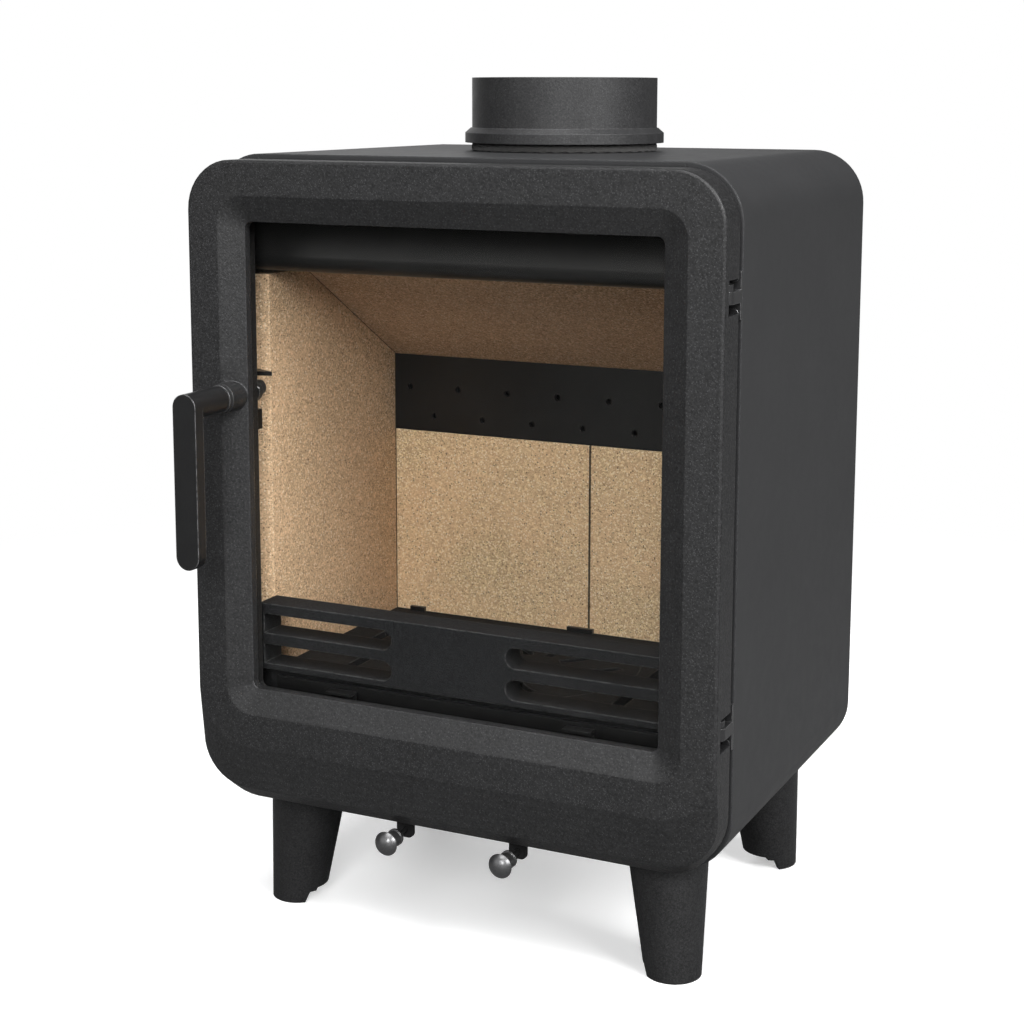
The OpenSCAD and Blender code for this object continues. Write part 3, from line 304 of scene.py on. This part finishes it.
def painted(name, dark, light, rough=0.5, spec=0.25, grain=0.9, grain_depth=0.03, cast=0.0,
            cast_size=1.6, fleck=0.5, painted_glints=0.0, edge_mm=0.6, edge_light=None, edge_amount=0.5,
            mottle=0.25, metallic=0.0, seam=False):
    """Paint or bare metal over a fine grain, with broad unevenness and lighter, smoother edges that are partly
    wear and partly a painted highlight, and optional painted glints.
    """
    mat, t = new_material(name)
    pos = t.n("ShaderNodeTexCoord").outputs["Object"]
    grit = t.cells(pos, grain).outputs
    grit_tone, grit_glint, grit_gloss = t.channels(grit["Color"])
    fine = t.noise(pos, grain * 1.6, 3.0, 0.65)
    broad = t.noise(pos, 60.0, 3.0, 0.55)
    smudge = t.noise(pos, 14.0, 4.0, 0.6)
    normal, edge = smooth_edge(t, edge_mm, seam)
    # colour
    tone = centred(t, broad, mottle * 1.6, 0.5)
    tone = centred(t, smudge, mottle, tone)
    tone = centred(t, grit_tone, fleck, tone)
    tone = centred(t, fine, fleck * 1.4, tone, clamp=True)
    colour = t.mix(tone, dark, light)
    # painted glints: bright specks put into the colour where light would catch the cast grain
    if painted_glints:
        heart = t.ramp(grit["Distance"], 0.2, 0.55, 1.0, 0.0)
        glint = t.math("MULTIPLY", t.ramp(grit_glint, 0.62, 0.97), heart)
        colour = t.mix(t.math("MULTIPLY", glint, painted_glints), colour, times(light, 3.2))
    # outward edges made lighter, partly as wear and partly as a painted highlight along the edges
    edge_patches = t.ramp(t.noise(pos, 3.5, 4.0, 0.7), 0.33, 0.62)
    wear_and_highlight = t.math("MULTIPLY", t.math("MULTIPLY", edge, edge_patches), edge_amount)
    colour = t.mix(wear_and_highlight, colour, edge_light or times(light, 2.2))
    # gloss
    gloss = centred(t, smudge, 0.14, rough)
    gloss = centred(t, grit_gloss, 0.14 * fleck, gloss)
    gloss = t.math("SUBTRACT", gloss, t.math("MULTIPLY", wear_and_highlight, 0.12), clamp=True)
    # relief
    height = t.math("MULTIPLY", t.math("ADD", fine, t.math("MULTIPLY", grit_tone, 0.25)), grain_depth)
    if cast:
        lumps = t.cells(pos, cast_size, "SMOOTH_F1").outputs["Distance"]
        height = t.math("MULTIPLY_ADD", lumps, -cast, height)
        height = t.math("MULTIPLY_ADD", smudge, cast * 2.0, height)
    bump = t.n("ShaderNodeBump", None, Strength=1.0, Distance=MM, Height=height, Normal=normal)
    bsdf = t.n("ShaderNodeBsdfPrincipled", None, Base_Color=colour, Roughness=gloss, Normal=bump.outputs[0])
    bsdf.distribution = "GGX"
    bsdf.inputs["Specular IOR Level"].default_value = spec
    bsdf.inputs["Metallic"].default_value = metallic
    t.end(bsdf.outputs[0])
    return mat


def brick(name, dark, base, pale, joints=(), rough=0.85):
    """Pressed vermiculite board: a fine warm ground of small dark and pale flakes, dark where boards meet,
    with a painted highlight along its outward edges.

    A joint is (axis, place, both_sides): a plane where this board touches the next one.
    """
    mat, t = new_material(name)
    pos = t.n("ShaderNodeTexCoord").outputs["Object"]
    normal, edge = smooth_edge(t, 0.8)
    wobble = t.n("ShaderNodeTexNoise", None, Vector=pos, Scale=700.0).outputs["Color"]
    bent = t.vec("ADD", pos, t.vec("MULTIPLY", wobble, (0.9 * MM, 0.9 * MM, 0.9 * MM)))
    flake = t.cells(bent, 1.55).outputs
    flake_dark, flake_pale, flake_shade = t.channels(flake["Color"])
    crumb = t.cells(bent, 1.0).outputs
    crumb_tone, crumb_speck, _ = t.channels(crumb["Color"])
    mid = t.noise(pos, 6.0, 4.0, 0.65)
    broad = t.noise(pos, 60.0, 2.0, 0.5)
    ground = t.mix(crumb_tone, times(base, 0.46), times(base, 1.45))
    ground = t.mix(t.math("MULTIPLY", t.ramp(flake_shade, 0.4, 0.7), 0.4), ground, times(base, 0.62))
    ground = t.mix(t.ramp(mid, 0.3, 0.7, 0.0, 0.35), ground, times(base, 0.78))
    ground = t.mix(t.ramp(broad, 0.3, 0.7, 0.0, 0.3), ground, times(base, 1.12))

    def spots(chance, start, full, cell, inner):
        """The middles of those cells whose chance is high."""
        return t.math("MULTIPLY", t.ramp(chance, start, full), t.ramp(cell["Distance"], inner, 0.5, 1.0, 0.0))

    dark_at = spots(flake_dark, 0.88, 0.93, flake, 0.28)
    pale_at = spots(flake_pale, 0.74, 0.82, flake, 0.30)
    speck = spots(crumb_speck, 0.86, 0.92, crumb, 0.3)
    colour = t.mix(t.math("MULTIPLY", pale_at, 0.85), ground, pale)
    colour = t.mix(t.math("MULTIPLY", dark_at, 0.85), colour, dark)
    colour = t.mix(t.math("MULTIPLY", speck, 0.7), colour, dark)
    # painted highlight: outward edges turned toward the pale flake colour
    colour = t.mix(t.math("MULTIPLY", edge, 0.3), colour, pale)
    place_of = t.axes(pos)
    for axis, place, both in joints:
        at = place_of[axis]
        away = t.math("ABSOLUTE", t.math("SUBTRACT", t.math("ABSOLUTE", at) if both else at, place))
        colour = t.mix(t.ramp(away, JOINT_NEAR, JOINT_FAR, 0.94, 0.0), colour, JOINT_COLOUR)
    height = t.math("MULTIPLY_ADD", crumb["Distance"], 0.10, t.math("MULTIPLY", flake["Distance"], 0.10))
    bump = t.n("ShaderNodeBump", None, Strength=0.8, Distance=MM, Height=height, Normal=normal)
    gloss = t.math("MULTIPLY_ADD", pale_at, -0.25, rough)
    bsdf = t.n("ShaderNodeBsdfPrincipled", None, Base_Color=colour, Roughness=gloss, Normal=bump.outputs[0])
    bsdf.inputs["Specular IOR Level"].default_value = 0.25
    t.end(bsdf.outputs[0])
    return mat


def window_glass(name):
    """Clear ceramic glass: light passes straight through, with a faint reflection and a trace of dust."""
    mat, t = new_material(name)
    pos = t.n("ShaderNodeTexCoord").outputs["Object"]
    wave = t.noise(pos, 90.0, 2.0, 0.5)
    bump = t.n("ShaderNodeBump", None, Strength=0.12, Distance=MM, Height=wave).outputs[0]
    clear = t.n("ShaderNodeBsdfTransparent", None, Color=(0.985, 0.985, 0.975)).outputs[0]
    shine = t.ramp(wave, 0.2, 0.8, 0.02, 0.06)
    gloss = t.n("ShaderNodeBsdfGlossy", None, Color=WHITE, Roughness=shine, Normal=bump).outputs[0]
    film = t.n("ShaderNodeBsdfDiffuse", None, Color=(0.75, 0.74, 0.72)).outputs[0]
    fresnel = t.n("ShaderNodeFresnel", None, IOR=1.45, Normal=bump).outputs[0]
    haze = t.ramp(t.noise(pos, 40.0, 5.0, 0.65), 0.45, 0.8, 0.0004, 0.0025)
    t.end(t.blend(haze, t.blend(t.math("MULTIPLY", fresnel, 0.14), clear, gloss), film))
    return mat


def woven(name, dark, light, strand=0.9, rough=0.9):
    """Glass-fibre tape or rope: fine crossed strands over a dark ground."""
    mat, t = new_material(name)
    pos = t.n("ShaderNodeTexCoord").outputs["Object"]
    x, y, z = t.axes(pos)
    turn = math.pi / (strand * MM)

    def strands(value):
        return t.math("ABSOLUTE", t.math("SINE", t.math("MULTIPLY", value, turn)))

    along = strands(t.math("ADD", t.math("ADD", x, z), y))
    across = strands(t.math("SUBTRACT", t.math("ADD", y, z), x))
    weave = t.math("MAXIMUM", along, across)
    fuzz = t.noise(pos, 0.5, 4.0, 0.7)
    tone = t.math("MULTIPLY_ADD", fuzz, 0.6, t.math("MULTIPLY", weave, 0.5), clamp=True)
    height = t.math("MULTIPLY_ADD", fuzz, 0.12, t.math("MULTIPLY", weave, 0.25))
    bump = t.n("ShaderNodeBump", None, Strength=0.9, Distance=MM, Height=height)
    colour = t.mix(tone, dark, light)
    bsdf = t.n("ShaderNodeBsdfPrincipled", None, Base_Color=colour, Normal=bump.outputs[0])
    t.put(bsdf, "Roughness", t.math("MULTIPLY_ADD", fuzz, 0.1, rough - 0.05))
    bsdf.inputs["Sheen Weight"].default_value = 0.15
    t.end(bsdf.outputs[0])
    return mat


# Each painted finish: its dark and its light tone, then what differs from the plain one
PAINTED = {
    "casing_paint": ((0.020, 0.0202, 0.021), (0.037, 0.0374, 0.0386), dict(
        rough=0.48, spec=0.22, grain=0.6, grain_depth=0.012, fleck=0.22, edge_mm=1.8, edge_amount=0.4,
        mottle=0.2, seam=True)),
    # frame_paint is kept near black: painted shade for the front frame, which shows only in the gap round the
    # door
    "frame_paint": ((0.0022, 0.0022, 0.0023), (0.0065, 0.0065, 0.0067), dict(
        rough=0.75, spec=0.07, fleck=0.35)),
    "panel_paint": ((0.022, 0.0223, 0.023), (0.041, 0.0416, 0.043), dict(
        rough=0.52, spec=0.22, grain=0.6, grain_depth=0.012, fleck=0.25, edge_mm=0.6, edge_amount=0.4)),
    "inner_steel": ((0.0035, 0.0035, 0.0037), (0.0095, 0.0095, 0.01), dict(
        rough=0.36, spec=0.3, fleck=0.05, grain=0.5, grain_depth=0.0015, edge_mm=0.6, edge_amount=0.35,
        mottle=0.3)),
    "fixing_steel": ((0.26, 0.26, 0.255), (0.46, 0.465, 0.47), dict(
        rough=0.38, spec=0.5, fleck=0.3, grain=0.5, grain_depth=0.01, edge_mm=0.3, edge_amount=0.5,
        metallic=0.9, mottle=0.5)),
    "hinge_steel": ((0.020, 0.020, 0.0207), (0.060, 0.060, 0.0615), dict(
        rough=0.36, spec=0.4, fleck=0.3, grain=0.5, grain_depth=0.012, edge_mm=0.5, edge_amount=0.85,
        edge_light=(0.32, 0.32, 0.325), metallic=0.5, mottle=0.4)),
    "collar_iron": ((0.012, 0.012, 0.0125), (0.036, 0.036, 0.037), dict(
        rough=0.46, spec=0.28, grain=0.8, grain_depth=0.05, cast=0.05, cast_size=1.2, fleck=0.55,
        painted_glints=0.3, edge_mm=0.8, edge_amount=0.8)),
    "leg_iron": ((0.0075, 0.0075, 0.0078), (0.026, 0.026, 0.0268), dict(
        rough=0.5, spec=0.25, grain=0.9, grain_depth=0.06, cast=0.08, cast_size=1.6, fleck=0.7,
        painted_glints=0.3, edge_mm=1.6, edge_amount=0.35)),
    "door_iron": ((0.0055, 0.0055, 0.0058), (0.021, 0.021, 0.0217), dict(
        rough=0.45, spec=0.36, grain=1.0, grain_depth=0.07, cast=0.11, cast_size=1.9, fleck=0.8,
        painted_glints=0.6, edge_mm=1.3, edge_amount=0.7, mottle=0.25)),
    "firebed_iron": ((0.0055, 0.0057, 0.0063), (0.0235, 0.0242, 0.0265), dict(
        rough=0.75, spec=0.07, grain=0.85, grain_depth=0.05, cast=0.07, cast_size=1.5, fleck=0.6,
        painted_glints=0.25, edge_mm=1.6, edge_amount=0.9, edge_light=(0.085, 0.085, 0.087))),
    "grip_black": ((0.004, 0.004, 0.0042), (0.014, 0.014, 0.0145), dict(
        rough=0.36, spec=0.35, grain=0.6, grain_depth=0.01, fleck=0.3, edge_mm=1.1, edge_amount=0.9,
        edge_light=(0.20, 0.20, 0.205))),
    "slide_steel": ((0.005, 0.005, 0.0053), (0.014, 0.014, 0.0145), dict(
        rough=0.5, spec=0.22, fleck=0.35, edge_mm=0.5, edge_amount=0.5)),
    "knob_steel": ((0.075, 0.075, 0.076), (0.165, 0.165, 0.168), dict(
        rough=0.34, spec=0.5, fleck=0.3, grain=0.5, grain_depth=0.008, edge_mm=0.5, edge_amount=0.5,
        metallic=0.85, mottle=0.4)),
}
# Each brick: its dark flakes, its ground, its pale flakes and its joints
BRICKS = {
    "side_brick": ((0.12, 0.066, 0.033), (0.74, 0.495, 0.31), (0.95, 0.79, 0.58), [(1, REAR_FACE, False)]),
    "rear_brick": ((0.12, 0.066, 0.032), (0.88, 0.575, 0.35), (0.98, 0.84, 0.62), [(0, REAR_JOINT, False)]),
    # the baffle's ground is darker than the other boards': painted shade for the ceiling, which faces down
    # away from the lamps
    "baffle_brick": ((0.12, 0.07, 0.038), (0.57, 0.395, 0.265), (0.82, 0.66, 0.50),
                     [(0, BAFFLE_HALF_WIDTH, True)]),
}
MATERIALS = {name: painted(name, dark, light, **rest) for name, (dark, light, rest) in PAINTED.items()}
MATERIALS.update({name: brick(name, *tones) for name, tones in BRICKS.items()})
MATERIALS["window_glass"] = window_glass("window_glass")
MATERIALS["rope_seal"] = woven("rope_seal", (0.006, 0.006, 0.006), (0.046, 0.0445, 0.043))
MATERIALS["flat_gasket"] = woven("flat_gasket", (0.006, 0.006, 0.006), (0.035, 0.035, 0.035), strand=0.7)

for part in frame["record"]["subparts"]:
    ob = frame["nodes"].get(part["node"])
    if ob is None:
        continue
    mat = MATERIALS[part["material_slot"]]
    if not ob.data.materials:
        ob.data.materials.append(mat)
    for i in range(len(ob.data.materials)):
        ob.data.materials[i] = mat


# ---------------------------------------------------------------- facets smoothed for the light
SHARP_ANGLE = 28
WELD = 0.02 * MM


def smooth_group(angle):
    """Welds a mesh for display and shades it smooth, except over edges sharper than the angle."""
    group = bpy.data.node_groups.new("smooth_%d" % round(angle), "GeometryNodeTree")
    group.interface.new_socket("Geometry", in_out="INPUT", socket_type="NodeSocketGeometry")
    group.interface.new_socket("Geometry", in_out="OUTPUT", socket_type="NodeSocketGeometry")
    t = Tree(group, clear=False)
    source = t.n("NodeGroupInput").outputs[0]
    weld = t.n("GeometryNodeMergeByDistance", None, Geometry=source, Distance=WELD).outputs[0]
    bare = t.n("GeometryNodeRemoveAttribute", None, Geometry=weld, Name="custom_normal").outputs[0]
    soft = t.n("GeometryNodeSetShadeSmooth", {"domain": "FACE"}, i0=bare, i2=True).outputs[0]
    bend = t.n("GeometryNodeInputMeshEdgeAngle").outputs[0]
    sharp = t.math("GREATER_THAN", bend, math.radians(angle))
    done = t.n("GeometryNodeSetShadeSmooth", {"domain": "EDGE"}, i0=soft, i1=sharp, i2=False).outputs[0]
    t.n("NodeGroupOutput", None, i0=done)
    return group


legs_smooth = smooth_group(SHARP_ANGLE)
for name in ("leg_front_left", "leg_front_right", "leg_rear_left", "leg_rear_right"):
    frame["nodes"][name].modifiers.new("smooth", "NODES").node_group = legs_smooth


# ---------------------------------------------------------------- braided seals
CORNER_STEPS = 12
CIRCLE_STEPS = 180


def rectangle_path(half_x, z0, z1, y, corner, step):
    """A closed round-cornered rectangle facing -Y, as resample gives it."""
    knots, ways = [], []
    for x, z, start in ((half_x, z1, 0.0), (-half_x, z1, 90.0), (-half_x, z0, 180.0), (half_x, z0, 270.0)):
        centre_x, centre_z = x - math.copysign(corner, x), z - (corner if z == z1 else -corner)
        for k in range(CORNER_STEPS + 1):
            a = math.radians(start + 90.0 / CORNER_STEPS * k)
            knots.append((centre_x + corner * math.cos(a), y, centre_z + corner * math.sin(a)))
            ways.append((math.cos(a), 0.0, math.sin(a)))
    return resample(np.array(knots), np.array(ways), step)


def circle_path(centre, radius, step):
    """A level circle, as resample gives it."""
    a = np.linspace(0.0, 2 * math.pi, CIRCLE_STEPS + 1)[:-1]
    ways = np.stack([np.cos(a), np.sin(a), 0 * a], axis=1)
    return resample(np.array(centre) + radius * ways, ways, step)


def resample(knots, ways, step):
    """Points a step apart on a closed line, the outward direction and the way gone at each, and its length."""
    knots, ways = np.vstack([knots, knots[:1]]), np.vstack([ways, ways[:1]])
    run = np.concatenate([[0.0], np.cumsum(np.linalg.norm(np.diff(knots, axis=0), axis=1))])
    count = int(run[-1] / step)
    at = np.arange(count) * run[-1] / count
    pts = np.stack([np.interp(at, run, knots[:, k]) for k in range(3)], axis=1)
    out = np.stack([np.interp(at, run, ways[:, k]) for k in range(3)], axis=1)
    out /= np.linalg.norm(out, axis=1)[:, None]
    return pts, out, at, run[-1]


def braid(name, node, body, slot, path, across, half_out, half_across, strands, pitch, depth, square):
    """A plaited rope or tape along a closed path: its strands wind both ways and stand proud.

    depth is the share by which the hollows lie lower, and square the power that rounds the section:
    1 is an ellipse, and less is squarer.
    """
    pts, out, at, length = path
    sides = 6 * strands
    turns = max(1, round(length / pitch))
    round_at = np.arange(sides) * 2 * math.pi / sides
    along = (2 * math.pi * turns / length) * at[:, None]
    right = np.sin(strands * round_at[None, :] + along)
    left = np.sin(strands * round_at[None, :] - along)
    size = 1.0 - depth * (1.0 - np.clip(np.maximum(right, left), 0.0, 1.0))

    def section(wave, half):
        return ((np.sign(wave) * np.abs(wave) ** square * half) * size)[:, :, None]

    verts = pts[:, None, :] + out[:, None, :] * section(np.cos(round_at), half_out)
    verts = verts + np.array(across)[None, None, :] * section(np.sin(round_at), half_across)
    n = len(pts)
    faces = [
        (i * sides + j, i * sides + (j + 1) % sides,
         ((i + 1) % n) * sides + (j + 1) % sides, ((i + 1) % n) * sides + j)
        for i in range(n) for j in range(sides)
    ]
    mesh = bpy.data.meshes.new(name)
    mesh.from_pydata(verts.reshape(-1, 3).tolist(), [], faces)
    mesh.validate()
    mesh.polygons.foreach_set("use_smooth", [True] * len(mesh.polygons))
    bm = bmesh.new()
    bm.from_mesh(mesh)
    bmesh.ops.recalc_face_normals(bm, faces=bm.faces)
    bm.to_mesh(mesh)
    bm.free()
    mesh.materials.append(MATERIALS[slot])
    piece = bpy.data.objects.new(name, mesh)
    scene.collection.objects.link(piece)
    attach(piece, body)
    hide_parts(node)


def node_points(node):
    mesh = frame["nodes"][node].data
    flat = np.empty(3 * len(mesh.vertices))
    mesh.vertices.foreach_get("co", flat)
    return flat.reshape(-1, 3)


# The door's rope lies in its groove
ROPE_HALF, ROPE_CORNER = 4 * MM, 24 * MM
low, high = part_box("door_rope")
middle_y = (low.y + high.y) / 2
braid(
    "door_rope_braid", "door_rope", "door", "rope_seal",
    rectangle_path(high.x - ROPE_HALF, low.z + ROPE_HALF, high.z - ROPE_HALF, middle_y, ROPE_CORNER,
                   1.1 * MM),
    across=(0, 1, 0), half_out=ROPE_HALF, half_across=(high.y - low.y) / 2,
    strands=4, pitch=14 * MM, depth=0.16, square=0.75,
)

# The ring of rope between the collar's flange and the roof
low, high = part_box("collar_seal")
centre = np.array([(low.x + high.x) / 2, (low.y + high.y) / 2])
reach = np.linalg.norm(node_points("collar_seal")[:, :2] - centre, axis=1)
braid(
    "collar_seal_braid", "collar_seal", "body", "rope_seal",
    circle_path((centre[0], centre[1], (low.z + high.z) / 2), (reach.min() + reach.max()) / 2, 1.1 * MM),
    across=(0, 0, 1), half_out=(reach.max() - reach.min()) / 2, half_across=(high.z - low.z) / 2,
    strands=4, pitch=10 * MM, depth=0.14, square=0.7,
)

# The flat tape round the glass, as wide as the gap between its outer and its inner edge
low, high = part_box("glass_gasket")
middle_y = (low.y + high.y) / 2
side = np.abs(node_points("glass_gasket")[:, 0])
TAPE_HALF = (high.x - side[side < high.x - 2 * MM].max()) / 2
braid(
    "glass_gasket_tape", "glass_gasket", "door", "flat_gasket",
    rectangle_path(high.x - TAPE_HALF, low.z + TAPE_HALF, high.z - TAPE_HALF, middle_y, TAPE_HALF + 1 * MM,
                   1.5 * MM),
    across=(0, 1, 0), half_out=TAPE_HALF, half_across=(high.y - low.y) / 2,
    strands=3, pitch=4 * MM, depth=0.06, square=0.35,
)
